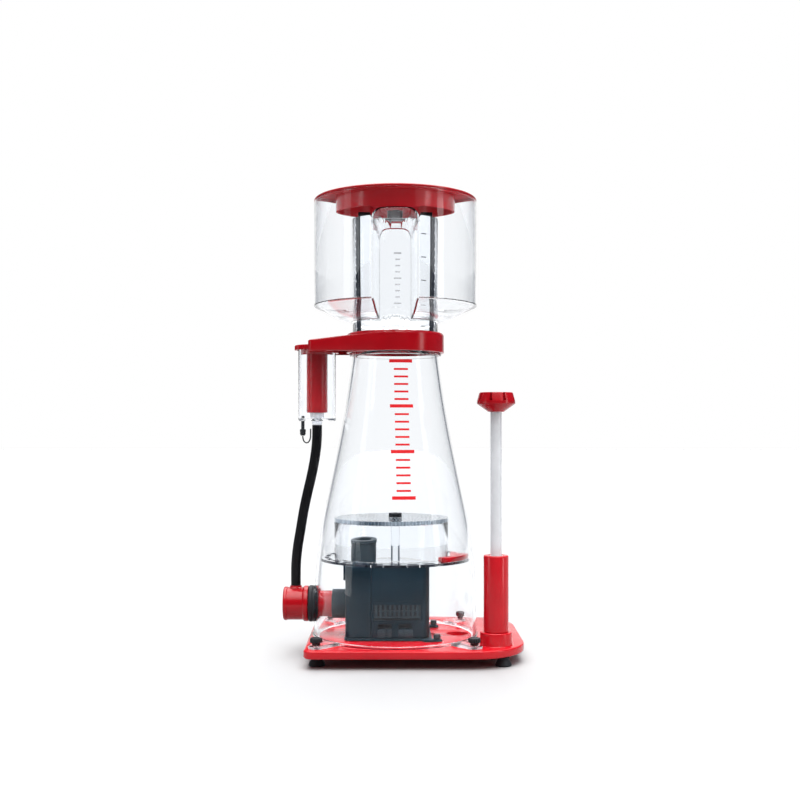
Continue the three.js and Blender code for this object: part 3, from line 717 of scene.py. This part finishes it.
def build_bubble_plates():
    low, high = node_box("lower_bubble_plate")
    riser_x = node_centre("outlet_riser")[0]
    disc = arc((0, 0), high.x, 0, 360, 143)[:-1]
    holes = [arc((riser_x, 0), 16.6, 0, 360, 48)[:-1]]
    slots, open_share, slot_inner, slot_outer = 26, 0.62, 82, 87.5
    for i in range(slots):
        middle = (i + 0.5) / slots * 2 * math.pi
        holes.append(slot_outline(middle, math.pi / slots * open_share, slot_inner, slot_outer))
    plate = prism(disc, low.z, high.z, holes)
    # The slot walls get the near-black second finish: painted shade on the clear plate.
    darken_walls(plate, lambda c: 80 < math.hypot(c.x, c.y) < 89)
    show("lower_plate_shell", plate, "clear", "lower_bubble_plate", extra=["slot_wall_shade"])

    low, high = node_box("diffuser_drum")
    x, y = node_centre("diffuser_drum")
    radius = node_radius("diffuser_drum")
    drum = moved(ring(radius, radius - 2.4, low.z, high.z, 128, 0.4), x, y)
    show("drum_shell", drum, "clear", "diffuser_drum")

    low, high = node_box("diffuser_plate")
    disc = arc((x, y), radius, 0, 360, 128)[:-1]
    holes = [arc((0, 0), 3, 0, 360, 16)[:-1]]
    rows = 11
    for row in range(1, rows + 1):
        reach = 11 + (radius - 16) * (row - 1) / (rows - 1)
        count = int(2 * math.pi * reach / 8.2)
        for i in range(count):
            angle = (i + 0.5 * (row % 2)) / count * 2 * math.pi
            centre = (x + reach * math.cos(angle), y + reach * math.sin(angle))
            if math.hypot(*centre) > 9.5:
                holes.append(arc(centre, 1.5, 0, 360, 8)[:-1])
    plate = prism(disc, low.z, high.z, holes)
    # The hole walls get the second finish: frosted drilling with painted shade and painted glints.
    darken_walls(plate, lambda c: math.hypot(c.x - x, c.y - y) < radius - 1)
    show("diffuser_shell", plate, "clear", "diffuser_plate", extra=["frosted_painted_glints"])

    low, high = node_box("centre_post")
    show("centre_post_shell", rod(5.4, low.z, high.z, 48, 0.4), "clear", "centre_post")

    low, high = node_box("diffuser_nut")
    hexagon = [(8.3 * math.cos(math.radians(a)), 8.3 * math.sin(math.radians(a))) for a in range(0, 360, 60)]
    nut = common(prism(hexagon, low.z, high.z), rod(8.1, low.z, high.z, 64, 1.0))
    washer = ring(8.4, 2.9, low.z, low.z + 1.2, 64, 0.3)
    cut(nut, rod(2.9, low.z - 5, high.z + 5, 32))
    join(nut, washer)
    show("diffuser_nut_shell", nut, "black", "diffuser_nut", body="plate_nut")

    low, high = node_box("plate_lock_tab")
    outer, inner = 91, 80
    start, finger, end = -0.9, -0.62, -0.24
    outline = arc((0, 0), outer, math.degrees(start), math.degrees(end), 18)
    at_end, at_finger, at_start = (
        (inner * math.cos(turn), inner * math.sin(turn)) for turn in (end, finger, start))
    outline += [at_end, (70.5, 2), (67.5, -8), at_finger, at_start]
    tab = prism(rounded(outline, 2.0, closed=True), low.z, high.z)
    show("lock_tab_shell", bevel(tab, 0.5, 2, 60), "deep_red", "plate_lock_tab")


# ---- pump

OUTLET_BORE = 9.7


def build_pump():
    low, high = node_box("motor_housing")
    left, right, front, back = low.x, high.x, low.y, high.y
    motor = slab(rectangle((left, right), (front, back), (0.6, 9, 9, 0.6), 12), low.z, high.z, 1.6, 3)
    well = along_x(rod(13, left - 5, 27, 48))
    bearing_seat = along_x(rod(6.4, 20, 34, 32))
    grille = block((-25.5, 30), (front - 5, front + 2.5), (47, 65.5))
    ducts = [block(span, (front - 5, front + 6), (37, 42.7)) for span in ((-20.8, -4.3), (3.8, 19.3))]
    seams = [block((left - 2, right + 2), (front - 1, front + 0.5), (z, z + 0.9)) for z in (69.5, 44.6)]
    cut(motor, well, bearing_seat, grille, *ducts, *seams)
    # Walls inside the grille and duct cavities take the black finish, darker than the housing: painted shade
    # in the recesses.
    for face in motor.data.polygons:
        c = face.center
        if c.y > front + 1 and left + 1 < c.x < right - 1 and c.y < front + 8 and c.z < 70:
            face.material_index = 1
    show("motor_shell", motor, "pump", "motor_housing", extra=["black"])
    first_bar, pitch, bar_width = -24.4, 5.5, 3.3
    across, rear = (-25.6, 30.1), front + 2.7
    bars = [block((x, x + bar_width), (front + 0.1, rear), (50.6, 65.6), 0.3, 1)
            for x in (first_bar + pitch * i for i in range(10))]
    for depth, height in ((0.9, (56.8, 58.4)), (0.4, (49.4, 50.8))):
        bars.append(block(across, (front + depth, rear), height, 0.2, 1))
    for i, piece in enumerate(bars):
        show(f"grille_bar_{i + 1}", piece, "grille", "motor_housing")
    for i, span in enumerate([(-20.9, -12.1), (-10.3, -4.8), (3.6, 10), (11, 21)]):
        pad = block(span, (front - 0.7, front + 1), (26, 35.7), 0.4, 2)
        show(f"pump_pad_{i + 1}", pad, "grille", "motor_housing")

    low, high = node_box("volute_housing")
    volute = slab(rectangle((-60, high.x), (low.y, high.y), (8, 0.6, 0.6, 8), 12), low.z, high.z, 1.6, 3)
    socket = along_x(rod(17.9, low.x, -54, 64, 0.8))
    chamber = along_x(rod(24, -54, high.x + 5, 64))
    socket_bore = along_x(rod(14.5, low.x - 5, -63, 48))
    throat = along_x(rod(11, -70, -50, 48))
    outlet = moved(rod(OUTLET_BORE, PUMP_HEIGHT, high.z + 5, 48), node_centre("outlet_riser")[0])
    face = block((-56.5, high.x - 3.5), (low.y - 5, low.y + 0.7), (31, 104))
    cut(join(volute, socket), chamber, socket_bore, throat, outlet, face)
    show("volute_shell", volute, "pump", "volute_housing")

    low, high = node_box("outlet_riser")
    riser = turned([
        (OUTLET_BORE, low.z), (16.2, low.z), (16.2, low.z + 3.4), (15.5, low.z + 4),
        (15.5, high.z - 3.2), (16.2, high.z - 2.6), (16.2, high.z), (OUTLET_BORE, high.z),
    ], 72, 0.4)
    show("riser_shell", moved(riser, node_centre("outlet_riser")[0]), "riser", "outlet_riser")

    low, high = node_box("pump_foot_plate")
    plate = slab(rectangle((low.x, 44), (-50, 50), (6, 6, 6, 6), 10), low.z, high.z, 0.7, 2)
    lugs = [slab(capsule((38, y), (49.5, y), 6.5), low.z, high.z, 0.7, 2) for y in (-50, 47)]
    show("pump_foot_shell", join(plate, *lugs), "pump", "pump_foot_plate")
    for number in (1, 2):
        name = f"pump_screw_{number}"
        x, y = node_centre(name)
        low, high = node_box(name)
        head = turned([(0, low.z), (4, low.z), (4.4, low.z + 3.4), (3.6, high.z), (0, high.z)], 48, 0.5)
        slit = block((-5, 5), (-0.5, 0.5), (high.z - 1.2, high.z + 2))
        show(f"pump_screw_shell_{number}", moved(cut(head, slit), x, y), "black", name)

    low, high = node_box("pump_clip")
    step, bottom, shelf = low.x + 3.7, 90, 111.8
    outline = [(low.x, bottom), (step, bottom), (step, shelf), (high.x, shelf), (high.x, high.z),
               (low.x, high.z)]
    clip = bevel(side_prism(outline, (-11, 11)), 0.6, 2)
    show("pump_clip_shell", clip, "pump", "pump_clip")

    gland = turned([
        (0, 46.3), (6, 46.3), (6, 50), (5.2, 50.4), (5.2, 51.6), (5.6, 52), (4.6, 53.4), (4.9, 54), (4, 56),
        (4, 60), (0, 60),
    ], 48, 0.3)
    show("gland_shell", along_y(gland, 20, CABLE_HEIGHT), "rubber", "motor_cable_gland")


# ---- intake

def build_intake():
    low, high = node_box("intake_pipe")
    pipe = turned([
        (11.5, low.x), (15.2, low.x), (16, low.x + 0.8), (16, -78.3), (14.1, -78.3), (14.1, high.x),
        (11.5, high.x),
    ], 72, 0.3)
    show("intake_shell", along_x(pipe), "deep_red", "intake_pipe")

    low, high = node_box("intake_gasket")
    washer = turned([
        (16.4, low.x), (21.2, low.x), (22.4, low.x + 1.2), (22.4, low.x + 4.2), (21.6, low.x + 5),
        (22.4, low.x + 5.8), (22.4, -94), (16.4, -94),
    ], 96, 0.5)
    washer = cut(along_x(washer), rod(101.3, 0, 120, 128))
    sleeve = along_x(ring(18.8, 16.4, -104, high.x, 64, 0.3))
    show("gasket_shell", join(washer, sleeve), "rubber", "intake_gasket")

    low, high = node_box("venturi_inlet")
    nozzle = turned([
        (11.5, -107.8), (9.4, -116), (9, -119), (9, -125), (11, -130), (17.6, low.x), (19.8, low.x),
        (20.8, low.x + 1.2), (20.8, low.x + 4), (20.2, low.x + 4.6), (20.2, -114.6), (22, -112.6),
        (22, -107.8),
    ], 96, 0.5)
    boss_x = -123.5
    collar = turned([(3, 78), (8.4, 78), (8.4, 79.8), (7.2, 80.6), (7.2, high.z), (3, high.z)], 64, 0.4)
    boss = moved(rod(7.2, 76, high.z, 64, 0.5), boss_x)
    hole = moved(rod(2.2, 62, 95, 24), boss_x)
    body = join(along_x(nozzle), boss, moved(collar, boss_x))
    show("venturi_shell", cut(body, hole), "deep_red", "venturi_inlet")


# ---- neck collar and silencer

def quadratic(start, control, end, steps=10):
    a, b, c = Vector(start), Vector(control), Vector(end)
    return [tuple(a.lerp(b, i / steps).lerp(b.lerp(c, i / steps), i / steps)) for i in range(steps + 1)]


def wing_outline(inset):
    end, front, back, corner = -105.5 + inset, -44.5 + inset, 32 - inset, 7
    outline = quadratic((end, back - corner), (end, back), (end + corner, back))[::-1]
    outline += quadratic((end, front + corner), (end, front), (end + corner, front - 1))
    hoop = -60.4 + inset
    outline += [(-70, front - 1 + (hoop - front + 1) * 0.29), (-35, front - 1 + (hoop - front + 1) * 0.645)]
    return outline + [(0, hoop), (0, back)]


def build_collar():
    low, high = node_box("neck_collar")
    silencer_x = node_centre("silencer_cup")[0]
    end, end_top, skirt_top = low.x, 384.2, 373.8

    def slope(drop):
        return lambda x, y: end_top + (high.z - end_top) * min(1, (x - end) / -end) - drop

    wing = slab(wing_outline(0), low.z, slope(0), 1.8, 4)
    hollow = slab(wing_outline(3), low.z - 6, slope(3), 1.2, 3)
    dial_way = block((end - 5, end + 8), (-29.4, 29.4), (low.z - 5, 381.4), 0.8)
    cut(wing, hollow, dial_way)
    hoop = turned([
        (0, low.z), (60.0, low.z), (60.4, low.z + 0.6), (60.4, high.z - 3.4), (59.2, high.z - 1),
        (57, high.z), (0, high.z),
    ], 144, 0.8)
    clip = moved(ring(26.9, 23.7, low.z, skirt_top, 96, 0.4), silencer_x)
    keep = block((end + 0.5, -60), (-60, 60), (low.z - 5, high.z))
    ribs = [block((-99, -95.4), span, (low.z, skirt_top), 0.3, 1) for span in ((-45, -25.6), (25.6, 31))]
    mouth = turned([
        (0, low.z - 5), (57.4, low.z - 5), (57.4, 376.2), (54.2, 376.2), (54.2, high.z - 1),
        (55, high.z + 0.2), (55, 405), (0, 405),
    ], 144)
    join(wing, hoop, common(clip, keep), *ribs)
    show("neck_collar_shell", cut(wing, mouth), "deep_red", "neck_collar")


def build_silencer():
    x = node_centre("silencer_cup")[0]
    plug_x = node_centre("silencer_plug")[0]
    low, high = node_box("silencer_cup")
    cup = turned([
        (4.3, low.z), (22.3, low.z), (23.3, low.z + 1), (23.3, high.z), (20.8, high.z), (20.8, low.z + 3),
        (4.3, low.z + 3),
    ], 96, 0.5)
    hole = moved(rod(2.5, low.z - 5, low.z + 8, 24), plug_x - x)
    show("silencer_cup_shell", moved(cut(cup, hole), x), "clear", "silencer_cup")

    low, high = node_box("silencer_tube")
    tube = turned([
        (2, low.z), (12.3, low.z), (13.1, low.z + 0.8), (13.1, high.z), (10.8, high.z), (10.8, low.z + 2.6),
        (2, low.z + 2.6),
    ], 96, 0.4)
    show("silencer_tube_shell", moved(tube, x), "deep_red", "silencer_tube")

    low, high = node_box("hose_nipple")
    nipple = turned([
        (1.8, low.z), (5.6, low.z), (6.1, low.z + 0.6), (6.1, 286.3), (3.9, 286.3), (3.9, 289.9),
        (8.4, 289.9), (8.4, high.z), (1.8, high.z),
    ], 64, 0.3)
    show("nipple_shell", moved(nipple, x), "white", "hose_nipple")

    low, high = node_box("silencer_dial")
    radius = node_radius("silencer_dial")
    rim = high.z - 6

    def grip(r, z, angle):
        """Fine ribs round the rim, and none further in."""
        if r < radius - 0.5:
            return r
        return r - 0.45 + 0.45 * math.tanh(2 * math.cos(angle * 48))

    dial = turned([
        (0, high.z - 2.7), (18.4, high.z - 2.7), (18.4, low.z), (20.4, low.z), (20.4, high.z - 2.7),
        (24.8, high.z - 2.7), (24.8, rim), (radius, rim), (radius, high.z - 0.9), (radius - 1, high.z),
        (0, high.z),
    ], 192, 0.3, grip)
    holes = []
    for i in range(3):
        angle = i * 0.6 + 2.5
        holes.append(moved(rod(2.2, low.z, high.z + 5, 24), 13 * math.cos(angle), 13 * math.sin(angle)))
    show("silencer_dial_shell", moved(cut(dial, *holes), x), "deep_red", "silencer_dial", body="air_dial")

    low, high = node_box("silencer_plug")
    plug = turned([
        (0, low.z), (2.2, low.z), (2.9, low.z + 0.7), (3.7, low.z + 2.8), (3.3, low.z + 4),
        (3.7, low.z + 5.2), (3.7, low.z + 7.6), (2.1, low.z + 8.2), (2.1, high.z - 1.1), (1.4, high.z),
        (0, high.z),
    ], 48, 0.3)
    show("silencer_plug_shell", moved(plug, plug_x), "rubber", "silencer_plug", body="drain_plug")


# ---- collection cup, lid and cleaner

CUP = {"radius": 100.7, "wall": 2.5, "wall_bottom": 428.3, "floor": 408.8, "floor_wall": 2.7}
CUP_FLOOR = [(53.8, 408.8), (68, 412.4), (79, 417.4), (90, 423.4), (99.7, 427.3)]
NECK = {"outer": 52.8, "inner": 49.8, "top": 530}
PAST_THE_CUP = (300, 600)


def recess(margin):
    """The finger recess, larger by the margin: an arched way that runs from the cup's wall to the neck
    and gets narrower and lower inwards."""
    half, top, corner = 26.7 + margin, 533 + margin, 14
    inner_half, drop = 19 + margin, 17.5
    bottom = CUP["floor"] - 30
    arch = [(-half, bottom), (half, bottom)]
    arch += quadratic((half, top - corner), (half, top), (half - corner, top), 12)
    arch += quadratic((corner - half, top), (-half, top), (-half, top - corner), 12)
    reach = CUP["radius"] + 4
    inward = reach / (reach - NECK["outer"])
    shrink = 1 + (inner_half / half - 1) * inward
    bm = bmesh.new()
    outer = [bm.verts.new((x, -reach, z)) for x, z in arch]
    inner = [bm.verts.new((x * shrink, 0, z - drop * inward)) for x, z in arch]
    for i in range(len(arch)):
        bm.faces.new((outer[i - 1], outer[i], inner[i], inner[i - 1]))
    bm.faces.new(outer[::-1])
    bm.faces.new(inner)
    bmesh.ops.triangulate(bm, faces=bm.faces)
    return make(bm)


def build_cup():
    low = node_box("cup_neck")[0]
    high = node_box("collection_cup")[1]
    radius, wall, wall_bottom, floor = CUP["radius"], CUP["wall"], CUP["wall_bottom"], CUP["floor"]
    inner = radius - wall
    neck, top = NECK["outer"], high.z
    thick = CUP["floor_wall"]
    under = smooth_curve(CUP_FLOOR, 5)
    bowl = turned([
        (neck - 1, floor), *under, (radius, wall_bottom), (radius, top), (inner, top),
        (inner, wall_bottom + 1.6), *[(r, z + thick) for r, z in reversed(under) if r < inner - 2],
        (neck - 1, floor + thick),
    ], 144, 0.8)
    envelope = turned([
        (0, floor + 1), *[(r, z + 1) for r, z in under], (radius - 1, wall_bottom + 1), (radius - 1, top),
        (0, top),
    ], 144)
    niche = cut(recess(0), rod(neck, *PAST_THE_CUP, 144))
    niche_walls = common(cut(recess(2.4), rod(neck - 1, *PAST_THE_CUP, 144)), envelope)
    tube = turned([
        (NECK["inner"], low.z), (neck - 0.6, low.z), (neck, low.z + 0.6), (neck, NECK["top"]),
        (NECK["inner"], NECK["top"]),
    ], 144, 0.5)
    half_round = along_y(rod(13.5, -neck - 3, 0, 64), 0, floor)
    boss = common(half_round, block((-20, 20), (-60, 0), (floor, floor + 20)))
    cup = cut(join(bowl, niche_walls), niche)
    cut(join(cup, tube, boss), rod(NECK["inner"], *PAST_THE_CUP, 144))
    show("collection_cup_shell", cup, "clear", "collection_cup", "cup_floor", "cup_recess", "cup_neck",
         body="cup", crease=25)


def build_lid():
    low, high = node_box("cup_lid")
    top, plate, radius = high.z, high.z - 2.7, node_radius("cup_lid")
    plug = radius - 3.3
    hub_bottom, plug_bottom = 548, 554.5
    lid = turned([
        (0, plate), (10.3, plate), (10.3, hub_bottom), (13, hub_bottom), (13, plate), (70, plate),
        (70, low.z), (72.5, low.z), (72.5, plate), (plug - 2.6, plate), (plug - 2.6, plug_bottom),
        (plug, plug_bottom), (plug, plate), (radius - 0.2, plate), (radius, plate + 0.3), (radius, top - 1),
        (radius - 1, top), (0, top),
    ], 160, 0.5)
    # Underside faces take a matt red and the skirt the plain red, both lighter than the deep red top: painted
    # light, as if lit from below. The underside is also rougher.
    for face in lid.data.polygons:
        if face.normal.z < -0.5:
            face.material_index = 1
        elif face.center.z < plate - 0.1:
            face.material_index = 2
    show("cup_lid_shell", lid, "deep_red", "cup_lid", body="lid", extra=["underlit_matt_red", "red"])


def build_cleaner():
    low, high = node_box("wiper_frame")
    bar = 532.5
    joint = high.x
    bridge = block((-joint, joint), (-4, 4), (bar, 538), 0.8)
    hub = rod(9.9, bar, high.z, 72, 0.8)
    arms = [block(span, (-1.6, 1.6), (low.z, bar + 2), 0.3, 1) for span in ((-joint, -42.8), (42.8, joint))]
    frame_piece = join(bridge, hub, *arms)
    show("wiper_frame_shell", frame_piece, "black", "wiper_frame", body="neck_cleaner")
    for side, name in ((-1, "wiper_blade_left"), (1, "wiper_blade_right")):
        low, high = node_box(name)
        blade = block((low.x, high.x), (low.y, high.y), (low.z, high.z), 0.3, 1)
        tip = low.x if side < 0 else high.x
        notches = [block((tip - 1.1, tip + 1.1), (-3, 3), (z, z + 2.2))
                   for z in range(int(low.z) + 8, int(high.z) - 6, 9)]
        cut(blade, *notches)
        show(f"{name}_shell", blade, "rubber", name, body="neck_cleaner")


# ---- outlet post and level control

def build_level_control():
    bore = 6.95
    low, high = node_box("outlet_post")
    top, shoulder = high.z, 38.5
    post = turned([
        (10, low.z), (12.2, low.z), (12.2, shoulder), (14.4, shoulder), (14.7, shoulder + 0.4),
        (14.7, top - 1), (13.9, top), (8.8, top), (8.8, top - 3.2), (12, top - 3.2), (12, shoulder + 2),
        (10, shoulder + 2),
    ], 96, 0.4)
    window = block((-7, 7), (5, 30), (48, 80), 1.2)
    show("post_shell", moved(cut(post, window), POST_X, POST_Y), "red", "outlet_post")

    low, high = node_box("rod_bush")
    bush = turned([
        (bore, low.z), (11.6, low.z), (11.6, low.z + 3.6), (8.4, low.z + 3.6), (8.4, high.z), (bore, high.z),
    ], 64, 0.3)
    show("bush_shell", moved(bush, POST_X, POST_Y), "white", "rod_bush")

    low, high = node_box("valve_sleeve")
    sleeve = turned([
        (9.2, low.z), (11.6, low.z), (11.6, high.z), (bore, high.z), (bore, high.z - 6), (9.2, high.z - 6),
    ], 72, 0.3)
    slant = block((-30, 30), (-40, 40), (-30, 0))
    slant.data.transform(Matrix.Rotation(0.75, 4, "X"))
    sleeve = cut(sleeve, moved(slant, z=54))
    show("sleeve_shell", moved(sleeve, POST_X, POST_Y), "white", "valve_sleeve", body="level_control")

    low, high = node_box("level_rod")
    stem = rod(6.57, low.z, high.z, 64, 0.6)
    show("rod_shell", moved(stem, POST_X, POST_Y), "milky", "level_rod", body="level_control")

    low, high = node_box("level_knob")
    radius = 22.5
    rod_top = node_box("level_rod")[1].z + 0.3
    knob = turned([
        (bore, low.z), (9.4, low.z), (9.9, low.z + 0.5), (13, low.z + 2.7), (radius, low.z + 9.4),
        (radius, low.z + 12.6), (19.9, high.z - 0.8), (19.2, high.z), (15, high.z), (14.4, high.z - 0.7),
        (0, high.z - 0.7), (0, rod_top), (bore, rod_top),
    ], 128, 0.4)
    wedge = [(17.8, 0), (27, -4.4), (27, 4.4)]
    notches = []
    for i in range(8):
        notch = prism(wedge, low.z + 13, high.z + 5)
        notches.append(turned_by(notch, (i + 0.5) * 45, "Z"))
    show("knob_shell", moved(cut(knob, *notches), POST_X, POST_Y), "deep_red", "level_knob",
         body="level_control")


# ---- printed marks

def curved_patch(angle, width, bottom, top, radius_at, lift=0.12, steps=6):
    """A thin printed patch on a round wall. The angle is in degrees from the front, to the right."""
    bm = bmesh.new()
    grid = []
    for z in (bottom, top):
        row = []
        for i in range(steps + 1):
            reach = radius_at(z) + lift
            turn = math.radians(angle - 90) + (i / steps - 0.5) * width / reach
            row.append(bm.verts.new((reach * math.cos(turn), reach * math.sin(turn), z)))
        grid.append(row)
    for i in range(steps):
        bm.faces.new((grid[0][i], grid[0][i + 1], grid[1][i + 1], grid[1][i]))
    grown = bmesh.ops.extrude_face_region(bm, geom=list(bm.faces))
    for item in grown["geom"]:
        if isinstance(item, bmesh.types.BMVert):
            flat = Vector((item.co.x, item.co.y, 0)).normalized()
            item.co -= flat * 0.08
    return make(bm)


def build_marks():
    """Water level marks: a red scale printed on the body and pale ones on the neck."""
    for i in range(19):
        z = 194 + i * 9
        width, height = (28, 4) if i % 6 == 0 else (17, 2.4)
        tick = curved_patch(7, width, z, z + height, body_radius)
        show(f"scale_mark_{i + 1}", tick, "print")

    def neck_radius(height):
        return NECK["outer"]

    for i in range(5):
        z = 400 + i * 27
        tick = curved_patch(40, 8, z, z + 1.1, neck_radius)
        show(f"neck_mark_{i + 1}", tick, "grey_print", body="cup")
    for i in range(9):
        z = 426 + i * 7.5
        tick = curved_patch(3, 9 if i % 4 == 0 else 5.5, z, z + 1.6, neck_radius)
        show(f"neck_scale_{i + 1}", tick, "pale_print", body="cup")


# ---- pieces kept as they are

KEPT = {
    "channel_cover": "red", "base_seal": "silicone", "post_screw": "black",
    "impeller_shaft": "ceramic", "rear_bearing": "ceramic", "front_bearing": "ceramic",
    "rotor_magnet": "magnet", "needle_impeller": "white", "neck_o_ring": "rubber", "plug_tether": "rubber",
}


def paint_kept_pieces():
    for name, finish in KEPT.items():
        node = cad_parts[name]
        node.data.materials.clear()
        node.data.materials.append(materials[finish])


# ---- the whole scene

def build_render_settings():
    scene.view_settings.view_transform = "Standard"
    scene.view_settings.look = "None"
    cycles = scene.cycles
    cycles.max_bounces = 28
    cycles.transmission_bounces = 26
    cycles.transparent_max_bounces = 28
    cycles.glossy_bounces = 6
    cycles.diffuse_bounces = 3
    cycles.caustics_refractive = True
    cycles.caustics_reflective = False


build_camera()
build_world()
build_stage()
materials = build_materials()
build_hose()
for light_settings in LIGHTS:
    build_light(*light_settings)
build_render_settings()

build_base()
build_thumb_screws()
build_body()
build_bubble_plates()
build_pump()
build_intake()
build_collar()
build_silencer()
build_cup()
build_lid()
build_cleaner()
build_level_control()
build_marks()
paint_kept_pieces()
